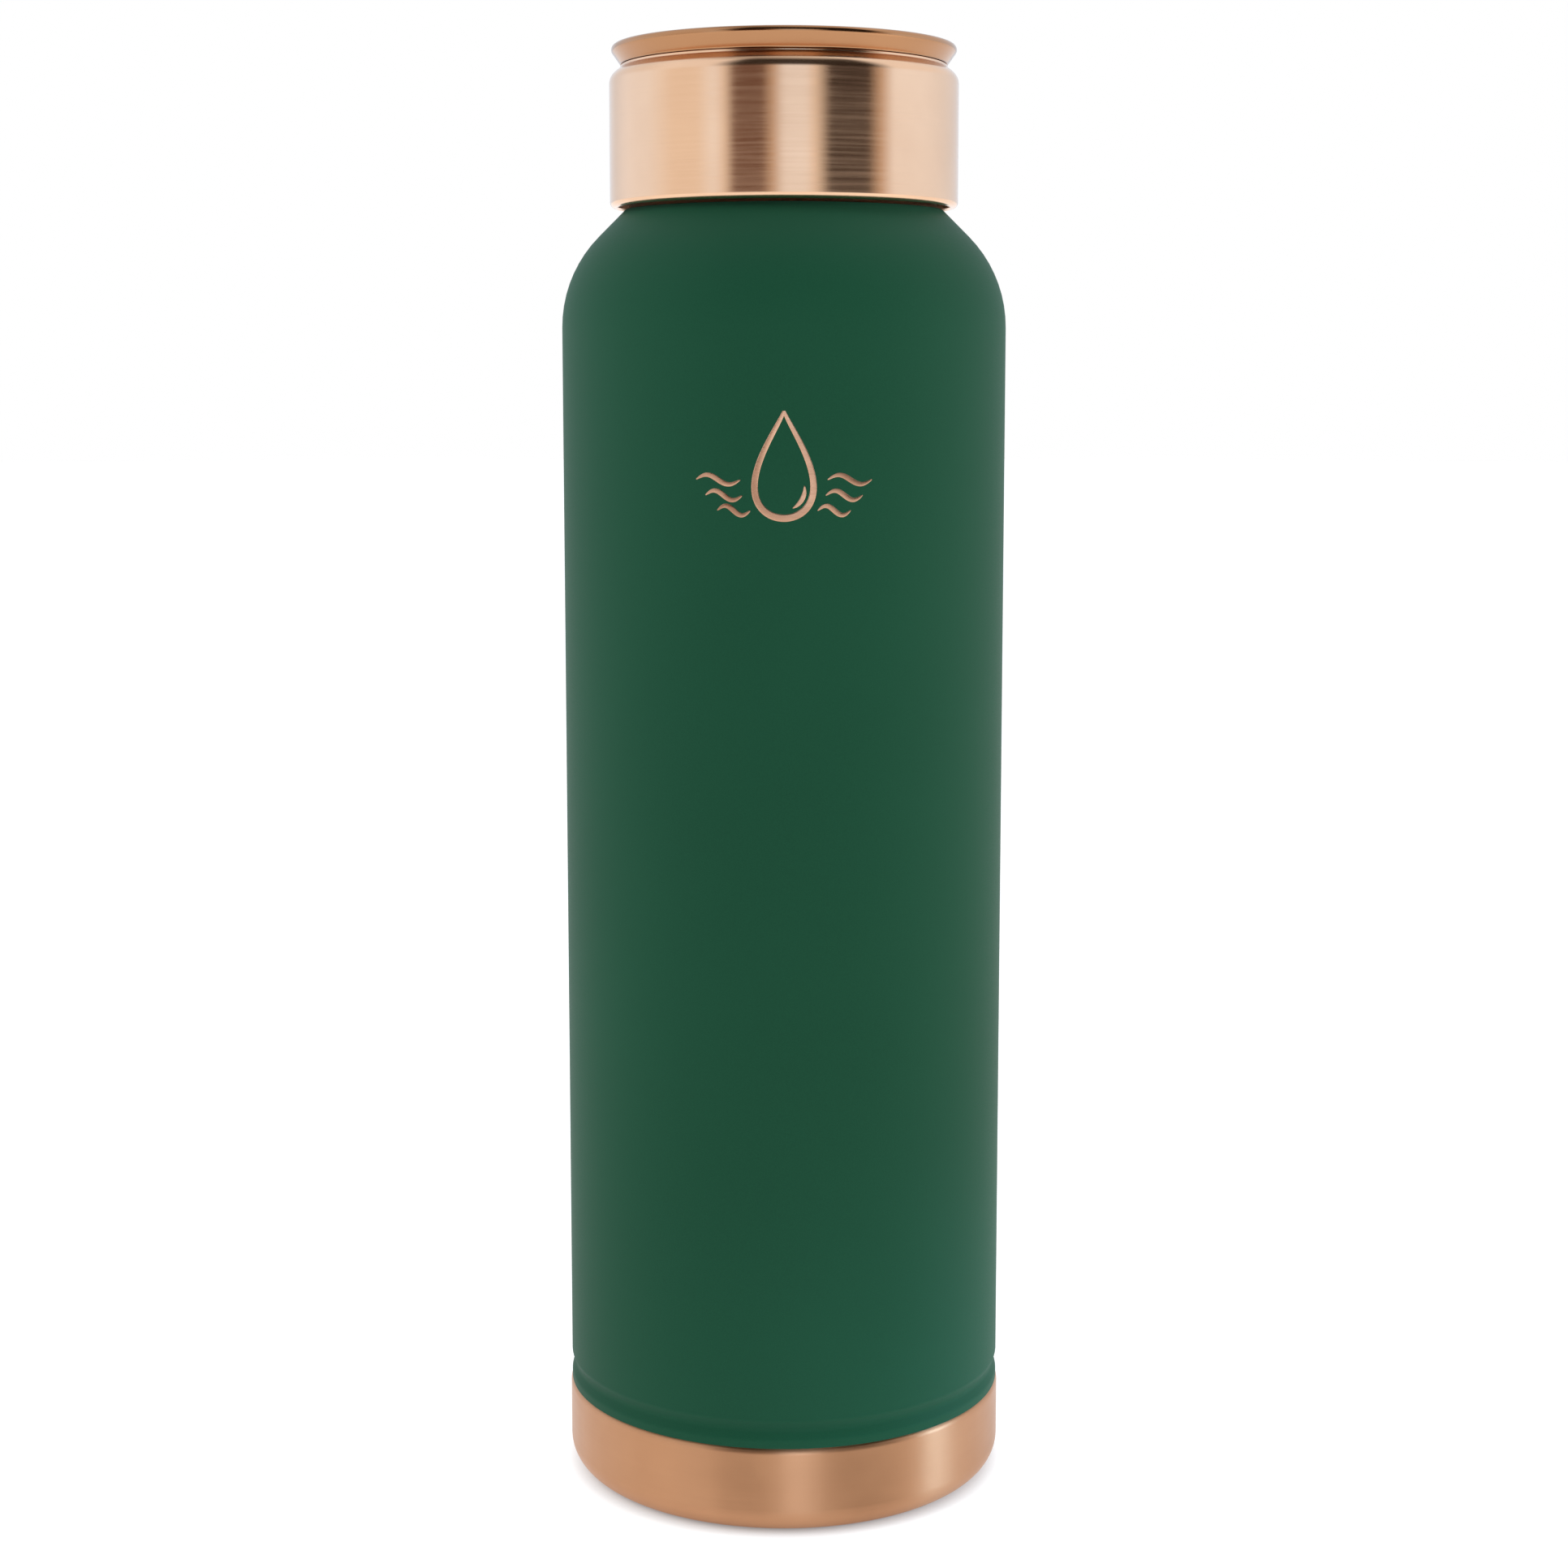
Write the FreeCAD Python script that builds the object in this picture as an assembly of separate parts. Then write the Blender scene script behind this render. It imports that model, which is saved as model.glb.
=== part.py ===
import FreeCAD, Part
import math
import os

# A copper water bottle with a silk-matt coat and a screw cap.
# Millimetres. The bottle's axis is Z, its foot stands on z = 0, and the mouth is at the top.
# Every piece is a solid of revolution. The threads are added as helical ridges.
#
# A profile is a list of corners (r, z, rounding): the distance from the axis, the height, and
# the radius of the arc that rounds the corner.

# Driving dimensions
BAND_RADIUS = 38.15         # bare copper band at the base, the widest part
COPPER_GAUGE = 0.8          # sheet of the shell and the base cup
COAT_THICKNESS = 0.15
WALL_RADIUS = 37.8          # outside of the copper shell, under the coat
SHOULDER_TOP = 209.45       # height where the wall's line and the shoulder cone's line cross
SHOULDER_ROUNDING = 21.5
NECK_RADIUS = 24.2          # outside of the neck tube
MOUTH_HEIGHT = 239.2        # top of the drinking lip
THREAD_LEAD = 5.0           # rise of the cap in one turn
CAP_BOTTOM = 220.7
CAP_TOP = 247.8
CAP_RADIUS = 29.65

# Gaps between pieces
BRAZE_GAP = 0.05
LINER_GAP = 0.1
SEAL_GAP = 0.05             # between the seal and the lip, and between the seal and the liner

# Base cup
BAND_TOP = 14.65            # where the band's line meets the joggle's slope
BAND_EDGE_ROUNDING = 1.0
JOGGLE_ROUNDING = 0.3
FOOT_ROUNDING = 4.6
FOOT_INNER_RADIUS = 29.8
FOOT_INNER_ROUNDING = 1.6
RECESS_RADIUS = 27.0
RECESS_HEIGHT = 3.8
RECESS_ROUNDING = 2.0
SPIGOT_TOP = 24.5           # end of the part of the cup that goes up inside the shell

# Lock groove, rolled through the shell and the spigot together
GROOVE_HEIGHT = 18.3
GROOVE_HALF_WIDTH = 1.7
GROOVE_CORNER_DEPTH = 0.9
GROOVE_EDGE_ROUNDING = 1.2
GROOVE_ROUNDING = 1.5

# Shell and coat
SHELL_BOTTOM = 15.95
COAT_BOTTOM = 15.3
COAT_TOP_RADIUS = 27.0      # where the coat stops, on the cone under the cap
NECK_ROOT_ROUNDING = 2.2
LIP_RADIUS = 25.55
LIP_ROUNDING = 0.5
LIP_EDGE_ROUNDING = 0.35

# Threaded neck ring
RING_BOTTOM = 224.75
RING_ROOT_RADIUS = 25.55
RING_ROUNDING = 0.4
RING_THREAD_START = 226.55
RING_THREAD_TURNS = 2.0

# Thread ridges of the ring and of the liner
RIDGE_HEIGHT = 1.2
RIDGE_ROOT_HALF_WIDTH = 1.45
RIDGE_CREST_HALF_WIDTH = 0.65
RIDGE_BURIED = 0.4          # how far a ridge's root is sunk in its wall

# Cap shell
CAP_GAUGE = 0.7
HEM_THICKNESS = 1.4
HEM_HEIGHT = 1.6
HEM_OUTER_ROUNDING = 1.0
HEM_INNER_ROUNDING = 0.4
BARREL_TOP = 242.5          # where the barrel's line meets the slope down into the cap's groove
BARREL_ROUNDING = 2.4
CAP_GROOVE_RADIUS = 27.75
CAP_GROOVE_FLOOR = 244.0    # where that slope meets the groove's own wall
CAP_GROOVE_ROUNDING = 0.3
CAP_SEAM = 244.45           # joint between the cap's shell and its top disc
CAP_SEAM_ROUNDING = 0.25

# Cap top disc
RIM_RADIUS = 29.25
RIM_UNDERSIDE = 246.75      # where the flare meets the rim's upright edge
RIM_ROUNDING = 0.75
FLARE_START = 244.65
FLARE_ROUNDING = 0.3
PANEL_RADIUS = 26.3
PANEL_DROP = 0.6
PANEL_ROUNDING = 0.6

# Cap liner and seal
LINER_BOTTOM = 222.95
LINER_THREAD_RADIUS = 27.15
LINER_CEILING = 240.85
LINER_TOP = 243.0
LINER_ROUNDING = 0.3
LINER_FOOT_WIDTH = 0.5       # flat foot of the liner, next to the cap's wall
LINER_THREAD_TURNS = 1.25
BEAD_RADIUS = 26.55         # bead that keeps the seal in the liner
BEAD_HEIGHT = 238.6
BEAD_ROUNDING = 0.2
SEAL_RADIUS = 26.85
SEAL_HOLE_RADIUS = 21.6
SEAL_ROUNDING = 0.3

# How closely points and edges are matched
SAME_POINT = 1e-6
EDGE_MATCH = 0.01

ORIGIN = FreeCAD.Vector(0, 0, 0)
UP = FreeCAD.Vector(0, 0, 1)


def in_profile(r, z):
    """A point of the half plane that is turned round the axis."""
    return FreeCAD.Vector(r, 0, z)


def straight(start, end):
    """A straight edge in a list, or no edge where the points meet."""
    if start.distanceToPoint(end) < SAME_POINT:
        return []
    return [Part.LineSegment(start, end).toShape()]


def corner_arc(before, corner, after, rounding):
    """The tangent arc at a corner: its start, the edge, and its end."""
    back = (before - corner).normalize()
    onward = (after - corner).normalize()
    half_angle = back.getAngle(onward) / 2
    reach = rounding / math.tan(half_angle)
    start = corner + back * reach
    end = corner + onward * reach
    bisector = (back + onward).normalize()
    middle = corner + bisector * (rounding / math.sin(half_angle) - rounding)
    return start, Part.Arc(start, middle, end).toShape(), end


def rounded_path(corners):
    """The edges of an open path: straight runs joined by arcs at the corners between its ends."""
    points = [in_profile(r, z) for r, z, rounding in corners]
    edges = []
    here = points[0]
    for i in range(1, len(corners) - 1):
        rounding = corners[i][2]
        if rounding > 0:
            start, arc, end = corner_arc(points[i - 1], points[i], points[i + 1], rounding)
            edges += straight(here, start) + [arc]
            here = end
        else:
            edges += straight(here, points[i])
            here = points[i]
    edges += straight(here, points[-1])
    return edges


def moved_left(corners, distance):
    """The same path, moved sideways to the left of its direction of travel."""
    directions = []
    for (r0, z0, _), (r1, z1, _) in zip(corners, corners[1:]):
        length = math.hypot(r1 - r0, z1 - z0)
        directions.append(((r1 - r0) / length, (z1 - z0) / length))
    moved = []
    for i, (r, z, rounding) in enumerate(corners):
        into = directions[max(i - 1, 0)]
        out = directions[min(i, len(directions) - 1)]
        spread = 1 + into[0] * out[0] + into[1] * out[1]
        turn = into[0] * out[1] - into[1] * out[0]
        step_r = -(into[1] + out[1]) / spread * distance
        step_z = (into[0] + out[0]) / spread * distance
        if rounding > 0:
            rounding -= math.copysign(1, turn) * distance
        moved.append((r + step_r, z + step_z, rounding))
    return moved


def turned(edges):
    """The solid that a closed profile makes when it turns once round the axis."""
    wire = Part.Wire(Part.__sortEdges__(edges))
    return Part.Face(wire).revolve(ORIGIN, UP, 360)


def turned_between(first, second):
    """A solid of revolution between two open paths, joined end to end."""
    starts = straight(in_profile(*first[0][:2]), in_profile(*second[0][:2]))
    ends = straight(in_profile(*first[-1][:2]), in_profile(*second[-1][:2]))
    return turned(rounded_path(first) + ends + rounded_path(second) + starts)


def turned_sheet(outline, gauge):
    """A wall of even thickness, with its metal on the left of the outline."""
    return turned_between(outline, moved_left(outline, gauge))


def helical_ridge(wall_radius, outward, start_height, turns):
    """A thread ridge on a wall, to the outside (outward = 1) or to the inside (-1)."""
    buried = wall_radius - outward * RIDGE_BURIED
    crest = wall_radius + outward * RIDGE_HEIGHT
    flank_slope = (RIDGE_ROOT_HALF_WIDTH - RIDGE_CREST_HALF_WIDTH) / RIDGE_HEIGHT
    buried_half_width = RIDGE_ROOT_HALF_WIDTH + flank_slope * RIDGE_BURIED
    section = [
        in_profile(buried, -buried_half_width),
        in_profile(crest, -RIDGE_CREST_HALF_WIDTH),
        in_profile(crest, RIDGE_CREST_HALF_WIDTH),
        in_profile(buried, buried_half_width),
    ]
    profile = Part.makePolygon(section + section[:1])
    helix = Part.makeHelix(THREAD_LEAD, THREAD_LEAD * turns, wall_radius)
    ridge = Part.Wire(helix.Edges).makePipeShell([profile], True, True)
    ridge.translate(FreeCAD.Vector(0, 0, start_height))
    return ridge


def lock_groove():
    """The corners of the rolled groove, on the outside of the copper shell."""
    return [
        (WALL_RADIUS, GROOVE_HEIGHT - GROOVE_HALF_WIDTH, GROOVE_EDGE_ROUNDING),
        (WALL_RADIUS - GROOVE_CORNER_DEPTH, GROOVE_HEIGHT, GROOVE_ROUNDING),
        (WALL_RADIUS, GROOVE_HEIGHT + GROOVE_HALF_WIDTH, GROOVE_EDGE_ROUNDING),
    ]


def cone_height(radius):
    """The height of the copper shoulder cone, which slopes at 45 degrees, at a radius."""
    return SHOULDER_TOP + WALL_RADIUS - radius


def bottle_shell():
    """Drawn copper wall, shoulder and neck, with the mouth flanged outwards over the neck ring."""
    flange_underside = MOUTH_HEIGHT - COPPER_GAUGE
    outline = [(WALL_RADIUS, SHELL_BOTTOM, 0)] + lock_groove() + [
        (WALL_RADIUS, SHOULDER_TOP, SHOULDER_ROUNDING),
        (NECK_RADIUS, cone_height(NECK_RADIUS), NECK_ROOT_ROUNDING),
        (NECK_RADIUS, flange_underside, LIP_ROUNDING),
        (LIP_RADIUS, flange_underside, 0),
    ]
    shell = turned_sheet(outline, COPPER_GAUGE)
    lip_edges = [
        edge for edge in shell.Edges
        if edge.BoundBox.ZMin > flange_underside - EDGE_MATCH
        and edge.BoundBox.ZLength < EDGE_MATCH
        and abs(edge.BoundBox.XMax - LIP_RADIUS) < EDGE_MATCH
    ]
    return shell.makeFillet(LIP_EDGE_ROUNDING, lip_edges).Solids[0]


def base_cup():
    """Pressed copper bottom: recessed panel, foot, bare band, and a spigot inside the shell."""
    groove = moved_left(
        [(WALL_RADIUS, SHELL_BOTTOM, 0)] + lock_groove() + [(WALL_RADIUS, SPIGOT_TOP, 0)],
        COPPER_GAUGE + BRAZE_GAP,
    )
    spigot_radius = groove[0][0]
    joggle_top = BAND_TOP + BAND_RADIUS - spigot_radius
    outline = [
        (0, RECESS_HEIGHT, 0),
        (RECESS_RADIUS, RECESS_HEIGHT, RECESS_ROUNDING),
        (FOOT_INNER_RADIUS, 0, FOOT_INNER_ROUNDING),
        (BAND_RADIUS, 0, FOOT_ROUNDING),
        (BAND_RADIUS, BAND_TOP, BAND_EDGE_ROUNDING),
        (spigot_radius, joggle_top, JOGGLE_ROUNDING),
    ] + groove[1:]
    return turned_sheet(outline, COPPER_GAUGE)


def silk_coat():
    """Coat on the outside of the shell. Its lower end also fills the brazed seam over the band."""
    copper_side = [(WALL_RADIUS, SHELL_BOTTOM - BRAZE_GAP, 0)] + lock_groove() + [
        (WALL_RADIUS, SHOULDER_TOP, SHOULDER_ROUNDING),
        (COAT_TOP_RADIUS, cone_height(COAT_TOP_RADIUS), 0),
    ]
    outside = moved_left(copper_side, -COAT_THICKNESS)
    outside[0] = (outside[0][0], COAT_BOTTOM, 0)
    seam_bore = WALL_RADIUS - COPPER_GAUGE
    slope_offset = BAND_RADIUS + BAND_TOP + BRAZE_GAP
    seam = [
        (slope_offset - COAT_BOTTOM, COAT_BOTTOM, 0),
        (seam_bore, slope_offset - seam_bore, 0),
        (seam_bore, SHELL_BOTTOM - BRAZE_GAP, 0),
    ]
    return turned_between(outside, seam + copper_side)


def neck_ring():
    """Threaded copper ring, brazed round the neck tube under the lip."""
    bore = NECK_RADIUS + BRAZE_GAP
    top = MOUTH_HEIGHT - COPPER_GAUGE - BRAZE_GAP
    outside = [
        (bore, RING_BOTTOM, 0),
        (RING_ROOT_RADIUS, RING_BOTTOM, RING_ROUNDING),
        (RING_ROOT_RADIUS, top, RING_ROUNDING),
        (bore + LIP_ROUNDING, top, 0),
    ]
    inside = [(bore, RING_BOTTOM, 0), (bore, top - LIP_ROUNDING, 0), (bore + LIP_ROUNDING, top, 0)]
    ring = turned_between(outside, inside)
    ridge = helical_ridge(RING_ROOT_RADIUS, 1, RING_THREAD_START, RING_THREAD_TURNS)
    return ring.fuse(ridge).Solids[0]


def cap_shell():
    """Spun copper cap: hemmed skirt, brushed barrel, and a neck-in under the top disc."""
    inner = CAP_RADIUS - CAP_GAUGE
    hem_inner = CAP_RADIUS - HEM_THICKNESS
    hem_top = CAP_BOTTOM + HEM_HEIGHT
    outside = [
        (hem_inner + HEM_INNER_ROUNDING, CAP_BOTTOM, 0),
        (CAP_RADIUS, CAP_BOTTOM, HEM_OUTER_ROUNDING),
        (CAP_RADIUS, BARREL_TOP, BARREL_ROUNDING),
        (CAP_GROOVE_RADIUS, CAP_GROOVE_FLOOR, CAP_GROOVE_ROUNDING),
        (CAP_GROOVE_RADIUS, CAP_SEAM, CAP_SEAM_ROUNDING),
        (0, CAP_SEAM, 0),
    ]
    inside = [
        (hem_inner + HEM_INNER_ROUNDING, CAP_BOTTOM, 0),
        (hem_inner, CAP_BOTTOM, HEM_INNER_ROUNDING),
        (hem_inner, hem_top, HEM_INNER_ROUNDING),
        (inner, hem_top, 0),
        (inner, BARREL_TOP - CAP_GAUGE, BARREL_ROUNDING - CAP_GAUGE),
        (CAP_GROOVE_RADIUS - CAP_GAUGE, CAP_GROOVE_FLOOR - CAP_GAUGE, CAP_GROOVE_ROUNDING),
        (CAP_GROOVE_RADIUS - CAP_GAUGE, CAP_SEAM - CAP_GAUGE, CAP_SEAM_ROUNDING),
        (0, CAP_SEAM - CAP_GAUGE, 0),
    ]
    return turned_between(outside, inside)


def cap_top_disc():
    """Pressed copper disc with a flared, rolled rim and a slightly sunk flat panel."""
    outline = [
        (CAP_GROOVE_RADIUS, CAP_SEAM + BRAZE_GAP, 0),
        (CAP_GROOVE_RADIUS, FLARE_START, FLARE_ROUNDING),
        (RIM_RADIUS, RIM_UNDERSIDE, RIM_ROUNDING),
        (RIM_RADIUS, CAP_TOP, RIM_ROUNDING),
        (PANEL_RADIUS + PANEL_DROP, CAP_TOP, PANEL_ROUNDING),
        (PANEL_RADIUS, CAP_TOP - PANEL_DROP, PANEL_ROUNDING),
        (0, CAP_TOP - PANEL_DROP, 0),
    ]
    return turned_sheet(outline, CAP_GAUGE)


def cap_liner():
    """Moulded plastic insert with the cap's thread and a bead that holds the seal."""
    outer = CAP_RADIUS - CAP_GAUGE - LINER_GAP
    slope_start = BARREL_TOP - CAP_GAUGE - LINER_GAP
    slope = (CAP_RADIUS - CAP_GROOVE_RADIUS) / (CAP_GROOVE_FLOOR - BARREL_TOP)
    top_radius = outer - slope * (LINER_TOP - slope_start)
    bead_reach = LINER_THREAD_RADIUS - BEAD_RADIUS
    outside = [
        (outer - LINER_FOOT_WIDTH, LINER_BOTTOM, 0),
        (outer, LINER_BOTTOM, LINER_ROUNDING),
        (outer, slope_start, BARREL_ROUNDING - CAP_GAUGE - LINER_GAP),
        (top_radius, LINER_TOP, LINER_ROUNDING),
        (0, LINER_TOP, 0),
    ]
    inside = [
        (outer - LINER_FOOT_WIDTH, LINER_BOTTOM, 0),
        (LINER_THREAD_RADIUS, LINER_BOTTOM, LINER_ROUNDING),
        (LINER_THREAD_RADIUS, BEAD_HEIGHT - bead_reach, 0),
        (BEAD_RADIUS, BEAD_HEIGHT, BEAD_ROUNDING),
        (LINER_THREAD_RADIUS, BEAD_HEIGHT + bead_reach, 0),
        (LINER_THREAD_RADIUS, LINER_CEILING, LINER_ROUNDING),
        (0, LINER_CEILING, 0),
    ]
    liner = turned_between(outside, inside)
    # The liner's ridge lies midway between the turns of the ring's ridge.
    ridge_start = RING_THREAD_START + THREAD_LEAD / 2
    ridge = helical_ridge(LINER_THREAD_RADIUS, -1, ridge_start, LINER_THREAD_TURNS)
    return liner.fuse(ridge).Solids[0]


def cap_gasket():
    """Flat silicone ring that the closed cap presses on the drinking lip."""
    bottom = MOUTH_HEIGHT + SEAL_GAP
    top = LINER_CEILING - SEAL_GAP
    inner_side = [
        (SEAL_HOLE_RADIUS + SEAL_ROUNDING, bottom, 0),
        (SEAL_HOLE_RADIUS, bottom, SEAL_ROUNDING),
        (SEAL_HOLE_RADIUS, top, SEAL_ROUNDING),
        (SEAL_HOLE_RADIUS + SEAL_ROUNDING, top, 0),
    ]
    outer_side = [
        (SEAL_HOLE_RADIUS + SEAL_ROUNDING, bottom, 0),
        (SEAL_RADIUS, bottom, SEAL_ROUNDING),
        (SEAL_RADIUS, top, SEAL_ROUNDING),
        (SEAL_HOLE_RADIUS + SEAL_ROUNDING, top, 0),
    ]
    return turned_between(outer_side, inner_side)


PIECES = {
    "bottle_shell": bottle_shell,
    "base_cup": base_cup,
    "silk_coat": silk_coat,
    "neck_ring": neck_ring,
    "cap_shell": cap_shell,
    "cap_top_disc": cap_top_disc,
    "cap_liner": cap_liner,
    "cap_gasket": cap_gasket,
}

os.makedirs("parts", exist_ok=True)
for name, build in PIECES.items():
    solid = build()
    solid.exportStep(f"parts/{name}.step")
    box = solid.optimalBoundingBox()
    print(
        f"{name}: {solid.ShapeType}, valid {solid.isValid()}, {len(solid.Solids)} solid, "
        f"{solid.Volume / 1000:.3f} cm3, z {box.ZMin:.2f} to {box.ZMax:.2f}, r {box.XMax:.2f}"
    )
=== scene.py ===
import math

import bmesh
import bpy
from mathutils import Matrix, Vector


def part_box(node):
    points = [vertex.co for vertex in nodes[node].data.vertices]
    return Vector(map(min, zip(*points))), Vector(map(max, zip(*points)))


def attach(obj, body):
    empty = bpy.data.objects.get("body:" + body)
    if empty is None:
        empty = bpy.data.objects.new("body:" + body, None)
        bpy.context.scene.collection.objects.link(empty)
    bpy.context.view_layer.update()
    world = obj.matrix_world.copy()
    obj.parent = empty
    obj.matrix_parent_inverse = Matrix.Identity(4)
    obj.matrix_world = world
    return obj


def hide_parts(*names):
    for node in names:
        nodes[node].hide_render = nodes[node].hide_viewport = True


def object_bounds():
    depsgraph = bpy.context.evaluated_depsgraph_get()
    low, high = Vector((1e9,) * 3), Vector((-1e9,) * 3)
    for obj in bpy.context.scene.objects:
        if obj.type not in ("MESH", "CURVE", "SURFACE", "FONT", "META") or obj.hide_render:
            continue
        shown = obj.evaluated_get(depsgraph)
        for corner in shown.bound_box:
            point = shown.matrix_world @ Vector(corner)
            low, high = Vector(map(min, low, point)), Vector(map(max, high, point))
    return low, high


# The looks of a coated copper water bottle with a brushed copper screw cap, in metres.

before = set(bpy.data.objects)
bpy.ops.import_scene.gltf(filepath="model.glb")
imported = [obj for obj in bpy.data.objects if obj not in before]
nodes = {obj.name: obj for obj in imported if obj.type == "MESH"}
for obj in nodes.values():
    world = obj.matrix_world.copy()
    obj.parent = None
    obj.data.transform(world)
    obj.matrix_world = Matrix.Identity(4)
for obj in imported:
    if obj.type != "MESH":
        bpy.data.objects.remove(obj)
cad_low, cad_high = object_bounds()

MM = 0.001
HEIGHT = cad_high.z
DIAMETER = cad_high.x - cad_low.x

# Turned pieces
SEGMENTS = 256              # round the axis
LONGEST_RUN = 5 * MM        # length of one face along a straight stretch of the outline
WELD = 1e-6                 # points nearer than this are one point
STRAIGHT = 0.2 * WELD       # a point nearer than this to the line past it is in a straight stretch
SHARP_ANGLE = math.radians(40)
COAT_EDGE = 0.06 * MM       # rounding of the coat's edges
EDGE_STEPS = 3              # faces across that rounding

# Emblem: a transfer foil on the front of the coat
EMBLEM_HEIGHT = 0.72 * HEIGHT
FOIL_STANDS_PROUD = 0.03 * MM
FOIL_SUNK = 0.01 * MM
DROP_HEIGHT = 17 * MM
DROP_SPREAD = 6.6 * MM      # from the drop's middle to its side, before the tip is drawn in
DROP_POINT = 1.4            # how slowly the drop widens from its tip
SHINE_RADIUS = 3.3 * MM     # an arc inside the drop
SHINE_MIDDLE = -3.9 * MM    # height of the arc's centre, from the drop's middle
SHINE_FROM = 25             # where the arc starts, in degrees from straight down
SHINE_TURN = 75             # how far it runs, in degrees
# Each pair of waves, in mm: height, and near and far end from the drop's middle
WAVES = ((-2.4, 7.0, 14.4), (-4.9, 6.7, 12.8), (-7.3, 5.4, 10.8))
WAVE_SWING = 0.75 * MM

# Materials
NOISE_SPAN = (0.3, 0.7)     # a noise's values are mostly in this part of 0 to 1
DEEP_SCRATCHES = (0.62, 0.82)       # and only its peaks are here
COARSE_GRAIN = (0.35, 0.75)

# Floor
FLOOR_RADIUS = 6
FLOOR_GLOW = 0.72
# The floor's contact shadow is painted: its glow fades out on a ring where the foot stands.
SHADOW_RADIUS = 0.43 * DIAMETER     # the foot's contact shadow is a ring
SHADOW_FADE = 0.08 * DIAMETER       # how far from that ring the glow is full again

# Studio, by how steeply a ray goes up: 0 is level and 1 is straight up
WALL_TOP = (0.20, 0.36)
CEILING_EDGE = (0.85, 0.98)
CEILING_SIDES = (-0.35, 0.35)       # and by how far it goes to the right

# Strip lights near the foot
STRIP_REACH = 0.20          # from the bottle's axis
STRIP_HEIGHT = 0.04
STRIP_SIZE = (0.06, 0.05)
STRIP_SPREAD = math.radians(40)

# Camera, a little under the shoulder, looking slightly down
CAMERA_DISTANCE = 6.157 * DIAMETER
CAMERA_HEIGHT = 0.7752 * HEIGHT
CAMERA_TILT = math.radians(7.18)
CAMERA_SHIFT = -0.0414
LENS = 62.18


# ---- Turned pieces ----

def outline_of(node):
    """The outline of a turned CAD node, as (radius, height) points in order, read on the XZ plane.

    An outline that starts and ends on the axis is open. One that never meets the axis is closed.
    """
    work = bmesh.new()
    work.from_mesh(nodes[node].data)
    bmesh.ops.remove_doubles(work, verts=work.verts, dist=WELD)
    everything = work.verts[:] + work.edges[:] + work.faces[:]
    bmesh.ops.bisect_plane(
        work, geom=everything, dist=WELD, plane_co=(0, 0, 0), plane_no=(1, 0, 0), clear_inner=True
    )
    everything = work.verts[:] + work.edges[:] + work.faces[:]
    cut = bmesh.ops.bisect_plane(
        work, geom=everything, dist=WELD, plane_co=(0, 0, 0), plane_no=(0, 1, 0)
    )["geom_cut"]
    neighbours = {}
    for edge in cut:
        if isinstance(edge, bmesh.types.BMEdge) and edge.verts[0].co != edge.verts[1].co:
            a, b = edge.verts
            neighbours.setdefault(a, []).append(b)
            neighbours.setdefault(b, []).append(a)
    ends = [v for v in neighbours if len(neighbours[v]) == 1]
    here = min(ends or neighbours, key=lambda v: v.co.z)
    seen = {here}
    order = [here]
    while True:
        onward = [v for v in neighbours[here] if v not in seen]
        if not onward:
            break
        here = onward[0]
        seen.add(here)
        order.append(here)
    points = [(max(v.co.x, 0.0), v.co.z) for v in order]
    work.free()
    return points, not ends


def without_straight_points(points, closed):
    """The outline without the points that lie in the middle of a straight stretch."""
    kept = []
    count = len(points)
    for i, (r, z) in enumerate(points):
        r0, z0 = points[i - 1]
        r1, z1 = points[(i + 1) % count]
        at_end = not closed and i in (0, count - 1)
        reach = math.hypot(r1 - r0, z1 - z0)
        offset = abs((r1 - r0) * (z - z0) - (z1 - z0) * (r - r0)) / max(reach, WELD)
        if at_end or offset > STRAIGHT:
            kept.append((r, z))
    return kept


def with_even_runs(points, closed):
    """The outline with its long straight stretches divided evenly."""
    divided = []
    stops = points + points[:1] if closed else points
    for (r0, z0), (r1, z1) in zip(stops, stops[1:]):
        steps = max(1, math.ceil(math.hypot(r1 - r0, z1 - z0) / LONGEST_RUN))
        for i in range(steps):
            t = i / steps
            divided.append((r0 + (r1 - r0) * t, z0 + (z1 - z0) * t))
    if not closed:
        divided.append(points[-1])
    return divided


def turned_piece(name, node, body, bevel):
    """A finely turned mesh on a CAD node's own outline, which stands for that node."""
    points, closed = outline_of(node)
    outline = with_even_runs(without_straight_points(points, closed), closed)
    work = bmesh.new()
    rings = []
    for r, z in outline:
        if r < WELD:
            rings.append([work.verts.new((0, 0, z))])
        else:
            angles = [2 * math.pi * i / SEGMENTS for i in range(SEGMENTS)]
            rings.append([work.verts.new((r * math.cos(a), r * math.sin(a), z)) for a in angles])
    pairs = list(zip(rings, rings[1:] + rings[:1] if closed else rings[1:]))
    for low, high in pairs:
        for i in range(SEGMENTS):
            j = (i + 1) % SEGMENTS
            corners = [low[i % len(low)], low[j % len(low)], high[j % len(high)], high[i % len(high)]]
            work.faces.new(list(dict.fromkeys(corners)))
    bmesh.ops.recalc_face_normals(work, faces=work.faces)
    for face in work.faces:
        face.smooth = True
    for edge in work.edges:
        edge.smooth = edge.calc_face_angle(0) < SHARP_ANGLE
    mesh = bpy.data.meshes.new(name)
    work.to_mesh(mesh)
    work.free()
    piece = bpy.data.objects.new(name, mesh)
    bpy.context.scene.collection.objects.link(piece)
    if bevel:
        edges = piece.modifiers.new("edge_rounding", "BEVEL")
        edges.width = bevel
        edges.segments = EDGE_STEPS
        edges.limit_method = "ANGLE"
        edges.angle_limit = SHARP_ANGLE
    normals = piece.modifiers.new("even_shading", "WEIGHTED_NORMAL")
    normals.keep_sharp = True
    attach(piece, body)
    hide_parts(node)
    return piece


# ---- Emblem ----

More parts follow.
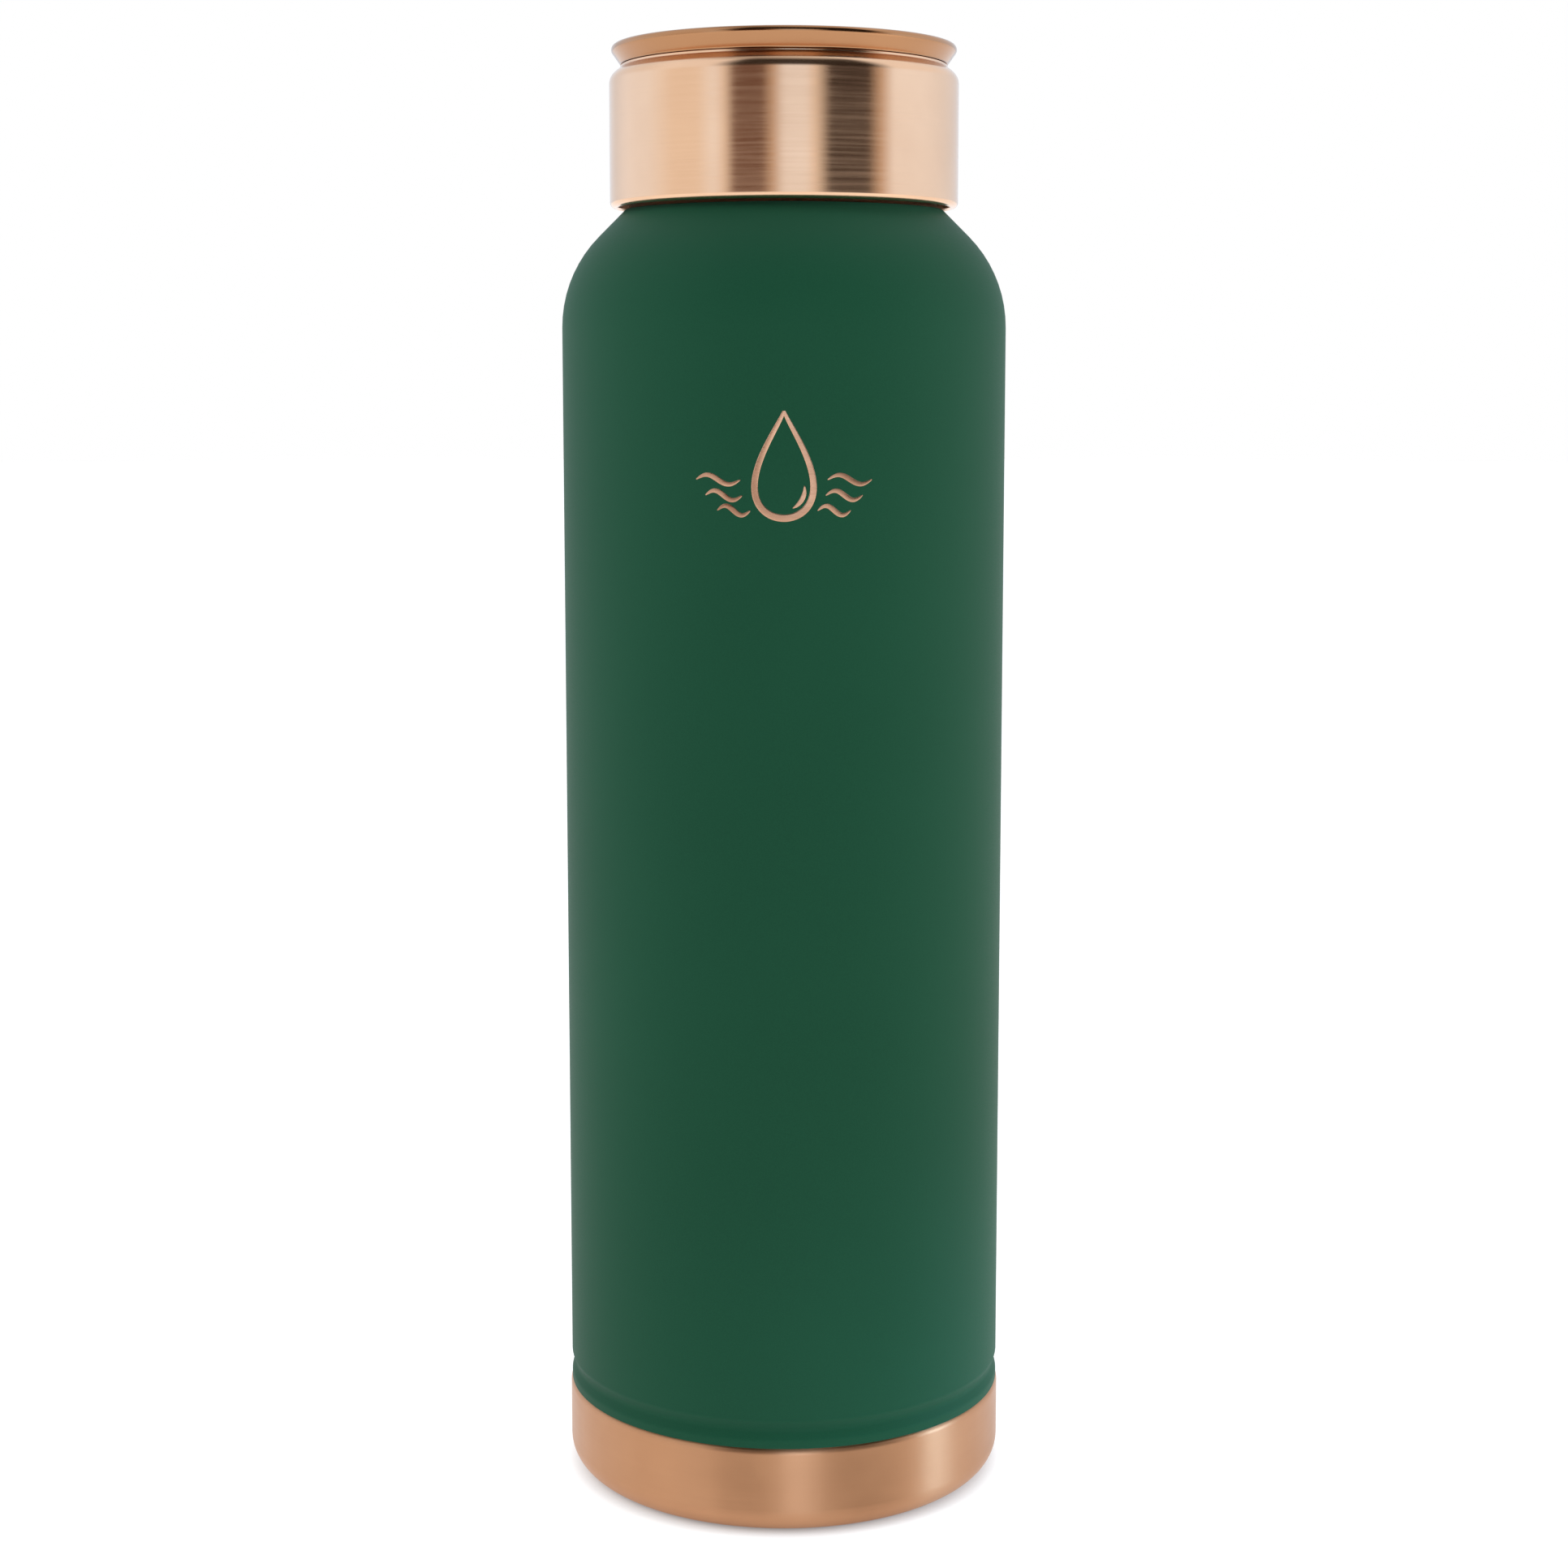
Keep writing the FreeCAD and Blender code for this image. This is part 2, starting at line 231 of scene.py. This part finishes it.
def drop_line(steps):
    """A water drop's outline from its tip round its foot and back, as (across, up) points."""
    points = []
    for i in range(steps + 1):
        t = 2 * math.pi * i / steps
        across = DROP_SPREAD * math.sin(t) * math.sin(t / 2) ** DROP_POINT
        points.append((across, DROP_HEIGHT / 2 * math.cos(t)))
    return points


def shine_line(steps):
    """A short arc inside the drop, low on its right side."""
    points = []
    for i in range(steps + 1):
        turn = math.radians(SHINE_FROM + SHINE_TURN * i / steps)
        points.append((math.sin(turn) * SHINE_RADIUS, SHINE_MIDDLE - math.cos(turn) * SHINE_RADIUS))
    return points


def wave_line(start, end, up, swing, steps):
    """One wave that runs across from start to end."""
    points = []
    for i in range(steps + 1):
        t = i / steps
        points.append((start + (end - start) * t, up + swing * math.sin(2 * math.pi * t)))
    return points


def tapered(full, least, power):
    """A stroke's width along its length: full in the middle, least at both ends."""
    return lambda t: least + (full - least) * math.sin(math.pi * t) ** power


def add_stroke(work, line, width, wall_radius):
    """One crowned foil stroke along a line of (across, up) points, laid on the round wall."""
    low, edge, crown = -FOIL_SUNK, 0.45 * FOIL_STANDS_PROUD, FOIL_STANDS_PROUD
    # The stroke's cross-section: share of its half width, and lift off the wall
    section = (
        (-1, low), (-1, edge * 0.6), (-0.75, edge), (0, crown), (0.75, edge), (1, edge * 0.6), (1, low)
    )
    rings = []
    last = len(line) - 1
    for i, (across, up) in enumerate(line):
        before = Vector(line[max(i - 1, 0)])
        after = Vector(line[min(i + 1, last)])
        along = (after - before).normalized()
        side = Vector((-along.y, along.x)) * width(i / last) / 2
        ring = []
        for share, lift in section:
            angle = (across + side.x * share) / wall_radius
            radius = wall_radius + lift
            height = EMBLEM_HEIGHT + up + side.y * share
            ring.append(work.verts.new((radius * math.sin(angle), -radius * math.cos(angle), height)))
        rings.append(ring)
    for one, other in zip(rings, rings[1:]):
        for i in range(len(one)):
            j = (i + 1) % len(one)
            work.faces.new((one[i], one[j], other[j], other[i]))
    work.faces.new(rings[0])
    work.faces.new(reversed(rings[-1]))


def make_emblem():
    """A plain water drop between waves, in thin copper-coloured foil on the coat."""
    wall_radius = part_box("silk_coat")[1].x
    work = bmesh.new()
    add_stroke(work, drop_line(120), tapered(1.15 * MM, 0.35 * MM, 0.8), wall_radius)
    add_stroke(work, shine_line(24), tapered(0.75 * MM, 0.1 * MM, 0.7), wall_radius)
    for side in (-1, 1):
        for up, near, far in WAVES:
            wave = wave_line(side * near * MM, side * far * MM, up * MM, side * WAVE_SWING, 48)
            add_stroke(work, wave, tapered(0.85 * MM, 0.12 * MM, 0.7), wall_radius)
    bmesh.ops.recalc_face_normals(work, faces=work.faces)
    for face in work.faces:
        face.smooth = True
    mesh = bpy.data.meshes.new("foil_emblem")
    work.to_mesh(mesh)
    work.free()
    emblem = bpy.data.objects.new("foil_emblem", mesh)
    bpy.context.scene.collection.objects.link(emblem)
    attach(emblem, "bottle")
    return emblem


# ---- Materials ----

def new_material(name):
    """An empty node material, with its shader."""
    material = bpy.data.materials.new(name)
    material.use_nodes = True
    shader = material.node_tree.nodes["Principled BSDF"]
    return material, material.node_tree, shader


def add_node(tree, kind, settings=None, **inputs):
    """A shader node with its settings and inputs. An input is a value, or a socket to link from."""
    node = tree.nodes.new(kind)
    for key, value in (settings or {}).items():
        setattr(node, key, value)
    for key, value in inputs.items():
        socket = node.inputs[int(key[1:])] if key[1:].isdigit() else node.inputs[key.replace("_", " ")]
        if isinstance(value, bpy.types.NodeSocket):
            tree.links.new(value, socket)
        else:
            socket.default_value = value
    return node


def math_node(tree, operation, *values):
    """A value worked out from one or two others."""
    node = add_node(tree, "ShaderNodeMath", {"operation": operation}, **dict(zip(("_0", "_1"), values)))
    return node.outputs[0]


def object_coordinates(tree):
    """Object coordinates, in metres."""
    return add_node(tree, "ShaderNodeTexCoord").outputs["Object"]


def sized_coordinates(tree, size):
    """Object coordinates, counted in units of size metres."""
    return add_node(
        tree, "ShaderNodeVectorMath", {"operation": "SCALE"},
        _0=object_coordinates(tree), Scale=1 / size,
    ).outputs[0]


def length_of(tree, vector):
    """The length of a vector."""
    node = add_node(tree, "ShaderNodeVectorMath", {"operation": "LENGTH"}, _0=vector)
    return node.outputs["Value"]


def ring_coordinates(tree, around, across):
    """Coordinates that change slowly round the axis and fast across it, for turned or brushed lines.

    around and across are the sizes of a feature, in metres. Across runs up a wall and in over a top.
    """
    x, y, z = add_node(tree, "ShaderNodeSeparateXYZ", Vector=object_coordinates(tree)).outputs
    radius = length_of(tree, add_node(tree, "ShaderNodeCombineXYZ", X=x, Y=y).outputs[0])
    path = math_node(tree, "SUBTRACT", z, radius)
    return add_node(
        tree, "ShaderNodeCombineXYZ",
        X=math_node(tree, "MULTIPLY", x, 1 / around),
        Y=math_node(tree, "MULTIPLY", y, 1 / around),
        Z=math_node(tree, "MULTIPLY", path, 1 / across),
    ).outputs[0]


def noise(tree, coordinates, detail):
    """A noise value from 0 to 1."""
    return add_node(
        tree, "ShaderNodeTexNoise", Vector=coordinates, Scale=1.0, Detail=detail, Roughness=0.5
    ).outputs[0]


def ranged(tree, value, low_in, high_in, low, high):
    """A value mapped from one range to another."""
    return add_node(
        tree, "ShaderNodeMapRange", _0=value, _1=low_in, _2=high_in, _3=low, _4=high
    ).outputs[0]


def mixed(tree, share, first, second):
    """A colour between two colours."""
    colours = [c if isinstance(c, bpy.types.NodeSocket) else (*c, 1) for c in (first, second)]
    # The mix node has its share at socket 0, and its colours at 6, 7 and output 2.
    return add_node(
        tree, "ShaderNodeMix", {"data_type": "RGBA"}, _0=share, _6=colours[0], _7=colours[1]
    ).outputs[2]


def bumped(tree, height, depth, strength, under=None):
    """A bump normal, depth metres deep, on top of another one."""
    node = add_node(tree, "ShaderNodeBump", Height=height, Distance=depth, Strength=strength)
    if under is not None:
        tree.links.new(under, node.inputs["Normal"])
    return node.outputs[0]


def copper(name, bright, deep, roughness, line_size, line_depth, anisotropy, wear):
    """Copper with turned or brushed lines round the axis, faint clouds of tone and soft smudges.

    wear, from 0 to 1, says how strongly the lines show in the tone and the gloss.
    """
    material, tree, shader = new_material(name)
    clouds = noise(tree, sized_coordinates(tree, 14 * MM), 3.0)
    lines = noise(tree, ring_coordinates(tree, 22 * MM, line_size), 2.0)
    scratches = noise(tree, ring_coordinates(tree, 9 * MM, line_size * 0.6), 1.0)
    tone = mixed(tree, ranged(tree, clouds, *NOISE_SPAN, 0, 1), bright, deep)
    darker = tuple(c * 0.86 for c in deep)
    worn = mixed(tree, ranged(tree, scratches, *DEEP_SCRATCHES, 0, wear), tone, darker)
    tree.links.new(worn, shader.inputs["Base Color"])
    smudges = ranged(tree, clouds, *NOISE_SPAN, roughness * 0.92, roughness * 1.08)
    streaks = ranged(tree, lines, *NOISE_SPAN, 1 - wear, 1 + wear)
    tree.links.new(math_node(tree, "MULTIPLY", smudges, streaks), shader.inputs["Roughness"])
    tree.links.new(bumped(tree, lines, line_depth, 0.5), shader.inputs["Normal"])
    tangent = add_node(tree, "ShaderNodeTangent", {"direction_type": "RADIAL", "axis": "Z"})
    tree.links.new(tangent.outputs[0], shader.inputs["Tangent"])
    shader.inputs["Metallic"].default_value = 1.0
    shader.inputs["Anisotropic"].default_value = anisotropy
    shader.inputs["Anisotropic Rotation"].default_value = 0.25     # highlights stretch up and down
    return material


def silk_coat():
    """Deep green silk-matt coat: fine grain, a slight orange peel and a pale bloom at a low angle."""
    material, tree, shader = new_material("green_silk_coat")
    clouds = noise(tree, sized_coordinates(tree, 45 * MM), 2.0)
    grain = noise(tree, sized_coordinates(tree, 0.22 * MM), 2.0)
    peel = noise(tree, sized_coordinates(tree, 1.6 * MM), 2.0)
    drift = ranged(tree, clouds, *NOISE_SPAN, 0, 1)
    green = mixed(tree, drift, (0.0052, 0.058, 0.027), (0.0062, 0.064, 0.030))
    speckled = mixed(tree, ranged(tree, grain, *COARSE_GRAIN, 0, 0.5), green, (0.009, 0.076, 0.036))
    tree.links.new(speckled, shader.inputs["Base Color"])
    tree.links.new(ranged(tree, grain, *NOISE_SPAN, 0.50, 0.60), shader.inputs["Roughness"])
    skin = bumped(tree, peel, 0.010 * MM, 0.35)
    tree.links.new(bumped(tree, grain, 0.006 * MM, 0.35, skin), shader.inputs["Normal"])
    shader.inputs["Specular IOR Level"].default_value = 0.07
    shader.inputs["Sheen Weight"].default_value = 0.038
    shader.inputs["Sheen Roughness"].default_value = 0.70
    shader.inputs["Sheen Tint"].default_value = (0.80, 0.92, 0.86, 1)
    return material


def let_light_in(shader, weight, depths):
    """Makes a material slightly translucent. depths are for red, green and blue, in metres."""
    shader.inputs["Subsurface Weight"].default_value = weight
    shader.inputs["Subsurface Radius"].default_value = depths
    shader.inputs["Subsurface Scale"].default_value = 1.0


def moulded_plastic():
    """Natural polypropylene with fine moulding grain."""
    material, tree, shader = new_material("natural_polypropylene")
    clouds = noise(tree, sized_coordinates(tree, 8 * MM), 2.0)
    grain = noise(tree, sized_coordinates(tree, 0.3 * MM), 2.0)
    milk = mixed(tree, clouds, (0.62, 0.61, 0.56), (0.70, 0.69, 0.64))
    tree.links.new(milk, shader.inputs["Base Color"])
    tree.links.new(ranged(tree, grain, *NOISE_SPAN, 0.36, 0.46), shader.inputs["Roughness"])
    tree.links.new(bumped(tree, grain, 0.01 * MM, 0.4), shader.inputs["Normal"])
    let_light_in(shader, 0.15, (0.002, 0.0018, 0.0015))
    return material


def silicone():
    """Matt, slightly translucent silicone."""
    material, tree, shader = new_material("silicone")
    dust = noise(tree, sized_coordinates(tree, 0.5 * MM), 3.0)
    skin = mixed(tree, dust, (0.66, 0.65, 0.61), (0.74, 0.73, 0.70))
    tree.links.new(skin, shader.inputs["Base Color"])
    tree.links.new(ranged(tree, dust, *NOISE_SPAN, 0.55, 0.68), shader.inputs["Roughness"])
    tree.links.new(bumped(tree, dust, 0.01 * MM, 0.4), shader.inputs["Normal"])
    let_light_in(shader, 0.25, (0.002, 0.0018, 0.0016))
    return material


def paint(piece, material):
    """Gives the whole piece one material."""
    if not piece.material_slots:
        piece.data.materials.append(material)
    for slot in piece.material_slots:
        slot.material = material


# ---- Stage ----

def make_floor():
    """A plain pale floor, large enough for every view.

    It glows softly, so that it's as white as the background, but the glow fades out on a ring where the
    foot stands, as a painted contact shadow.
    """
    material, tree, shader = new_material("pale_floor")
    soft = noise(tree, sized_coordinates(tree, 0.4), 1.0)
    pale = mixed(tree, soft, (0.48, 0.48, 0.48), (0.50, 0.50, 0.50))
    tree.links.new(pale, shader.inputs["Base Color"])
    away = length_of(tree, object_coordinates(tree))
    # Painted contact shadow: the glow fades to nothing on a ring where the foot stands.
    gap = math_node(tree, "ABSOLUTE", math_node(tree, "SUBTRACT", away, SHADOW_RADIUS))
    glow_with_painted_shadow = ranged(tree, gap, 0, SHADOW_FADE, 0, FLOOR_GLOW)
    tree.links.new(glow_with_painted_shadow, shader.inputs["Emission Strength"])
    # Seen from below, the floor is clear, so that it doesn't hide the bottle's underside.
    behind = add_node(tree, "ShaderNodeNewGeometry").outputs["Backfacing"]
    clear = add_node(tree, "ShaderNodeBsdfTransparent")
    sides = add_node(
        tree, "ShaderNodeMixShader", _0=behind, _1=shader.outputs[0], _2=clear.outputs[0],
    )
    tree.links.new(sides.outputs[0], tree.nodes["Material Output"].inputs["Surface"])
    shader.inputs["Emission Color"].default_value = (1, 1, 1, 1)
    shader.inputs["Roughness"].default_value = 0.7
    shader.inputs["Specular IOR Level"].default_value = 0.2
    bpy.ops.mesh.primitive_circle_add(vertices=96, radius=FLOOR_RADIUS, fill_type="NGON")
    floor = bpy.context.object
    floor.name = "floor"
    paint(floor, material)


def compass(tree, turn, stops):
    """A colour that changes with the turn, from a list of (degrees, colour). 0 is the front."""
    share = ranged(tree, turn, -math.pi, math.pi, 0, 1)
    ramp = add_node(tree, "ShaderNodeValToRGB", Fac=share)
    elements = ramp.color_ramp.elements
    while len(elements) < len(stops):
        elements.new(0.5)
    for element, (degrees, colour) in zip(elements, stops):
        element.position = (degrees + 180) / 360
        element.color = (*colour, 1)
    return ramp.outputs["Color"]


def make_studio():
    """Soft white walls, with two dark panels in front that draw the stripes on bare metal."""
    world = bpy.data.worlds.new("studio")
    world.use_nodes = True
    bpy.context.scene.world = world
    tree = world.node_tree
    direction = add_node(tree, "ShaderNodeTexCoord").outputs["Generated"]
    right, back, up = add_node(tree, "ShaderNodeSeparateXYZ", Vector=direction).outputs
    turn = math_node(tree, "ARCTAN2", right, math_node(tree, "MULTIPLY", back, -1.0))
    white, grey, ivory = (1.02, 1.17, 1.38), (0.82, 0.90, 1.00), (0.94, 0.93, 0.91)
    left_dark, right_dark = (0.12, 0.045, 0.018), (0.02, 0.008, 0.002)
    half_light = (0.62, 0.50, 0.40)
    walls = compass(tree, turn, [
        (-180, grey), (-145, grey), (-124, white), (-100, white), (-77, ivory), (-58, ivory),
        (-46, white), (-39, ivory), (-32, left_dark), (-14, left_dark), (-7, half_light),
        (0, white), (14, white), (20, ivory), (30, right_dark), (56, right_dark),
        (66, half_light), (76, white), (103, white), (153, grey), (180, grey),
    ])
    soft_white, gloom = (1.0, 1.05, 1.12), (0.03, 0.025, 0.02)
    above = compass(tree, turn, [
        (-180, grey), (-90, soft_white), (-50, soft_white), (-34, gloom),
        (62, gloom), (80, soft_white), (120, soft_white), (180, grey),
    ])
    sides = mixed(tree, ranged(tree, up, *WALL_TOP, 0, 1), walls, above)
    left_ceiling, right_ceiling = (0.32, 0.30, 0.28), (1.1, 1.15, 1.2)
    ceiling = mixed(tree, ranged(tree, right, *CEILING_SIDES, 0, 1), left_ceiling, right_ceiling)
    light = mixed(tree, ranged(tree, up, *CEILING_EDGE, 0, 1), sides, ceiling)
    # The camera itself sees plain white.
    seen = add_node(tree, "ShaderNodeLightPath").outputs["Is Camera Ray"]
    shown = mixed(tree, seen, light, (1.0, 1.0, 1.0))
    tree.links.new(shown, tree.nodes["Background"].inputs["Color"])
    tree.nodes["Background"].inputs["Strength"].default_value = 1.0


def make_lamp(name, place, target, width, height, power):
    """A soft box that shines at the target. Neither the camera nor a reflection shows it."""
    data = bpy.data.lights.new(name, "AREA")
    data.shape = "RECTANGLE"
    data.size = width
    data.size_y = height
    data.energy = power
    lamp = bpy.data.objects.new(name, data)
    lamp.location = place
    lamp.rotation_euler = (Vector(target) - Vector(place)).to_track_quat("-Z", "Y").to_euler()
    lamp.visible_camera = False
    lamp.visible_glossy = False
    bpy.context.scene.collection.objects.link(lamp)
    return lamp


def make_strip(name, degrees, power, colour):
    """A small light near the foot, which draws a soft highlight on the band. 0 degrees is the front."""
    turn = math.radians(degrees)
    place = (STRIP_REACH * math.sin(turn), -STRIP_REACH * math.cos(turn), STRIP_HEIGHT)
    strip = make_lamp(name, place, (0, 0, 0), *STRIP_SIZE, power)
    # A grid on the strip keeps its light and its reflection on the band.
    strip.data.spread = STRIP_SPREAD
    strip.data.color = colour
    strip.visible_glossy = True


def make_camera():
    """Looks along +Y and a little down, at the bottle's middle."""
    data = bpy.data.cameras.new("camera")
    data.lens = LENS
    data.shift_y = CAMERA_SHIFT
    camera = bpy.data.objects.new("camera", data)
    camera.location = (0, -CAMERA_DISTANCE, CAMERA_HEIGHT)
    camera.rotation_euler = (math.pi / 2 - CAMERA_TILT, 0, 0)
    bpy.context.scene.collection.objects.link(camera)
    bpy.context.scene.camera = camera


# ---- The bottle ----

brushed = copper(
    "brushed_copper", bright=(0.84, 0.54, 0.35), deep=(0.79, 0.50, 0.32), roughness=0.18,
    line_size=0.40 * MM, line_depth=0.003 * MM, anisotropy=0.7, wear=0.16,
)
# The disc's copper tone is painted much darker than the barrel's. That is painted shade for the dim
# reflections on the cap's rim, over a real polished finish.
polished_painted_shade = copper(
    "polished_copper", bright=(0.47, 0.235, 0.113), deep=(0.45, 0.222, 0.106), roughness=0.16,
    line_size=0.5 * MM, line_depth=0.002 * MM, anisotropy=0.6, wear=0.25,
)
# The band's copper tone is painted darker than the barrel's. That is painted shade for the shaded floor
# it reflects near the foot, over a real satin finish.
satin_painted_shade = copper(
    "satin_copper", bright=(0.565, 0.289, 0.152), deep=(0.540, 0.272, 0.141), roughness=0.40,
    line_size=0.6 * MM, line_depth=0.0, anisotropy=0.90, wear=0.03,
)
bare = copper(
    "bare_copper", bright=(0.72, 0.42, 0.29), deep=(0.60, 0.33, 0.21), roughness=0.38,
    line_size=0.8 * MM, line_depth=0.010 * MM, anisotropy=0.3, wear=0.3,
)
foil = copper(
    "copper_foil", bright=(0.74, 0.44, 0.29), deep=(0.40, 0.20, 0.12), roughness=0.26,
    line_size=0.5 * MM, line_depth=0.002 * MM, anisotropy=0.0, wear=0.3,
)

# Piece, CAD node, body, material slot, edge rounding, material
turned = [
    ("coat", "silk_coat", "bottle", "green_coat", COAT_EDGE, silk_coat()),
    ("foot_cup", "base_cup", "bottle", "satin_copper", 0.0, satin_painted_shade),
    ("copper_wall", "bottle_shell", "bottle", "bare_copper", 0.0, bare),
    ("cap_barrel", "cap_shell", "cap", "brushed_copper", 0.0, brushed),
    ("cap_disc", "cap_top_disc", "cap", "polished_copper", 0.0, polished_painted_shade),
    ("seal_ring", "cap_gasket", "seal", "seal_silicone", 0.0, silicone()),
]
for name, node, body, slot, bevel, material in turned:
    paint(turned_piece(name, node, body, bevel), material)

paint(make_emblem(), foil)
paint(nodes["neck_ring"], bare)
paint(nodes["cap_liner"], moulded_plastic())

make_floor()
make_studio()
middle = (0, 0, HEIGHT / 2)
make_lamp("key", (-0.9, -0.6, 1.1), middle, 0.8, 0.8, 6)
make_lamp("fill", (1.0, -0.35, 0.4), middle, 0.6, 0.8, 5)
make_strip("front_strip", 8, 0.0021, (0.80, 1.05, 1.40))
make_strip("side_strip", 80, 0.0048, (0.55, 1.10, 1.80))
make_camera()
bpy.context.scene.view_settings.view_transform = "Standard"
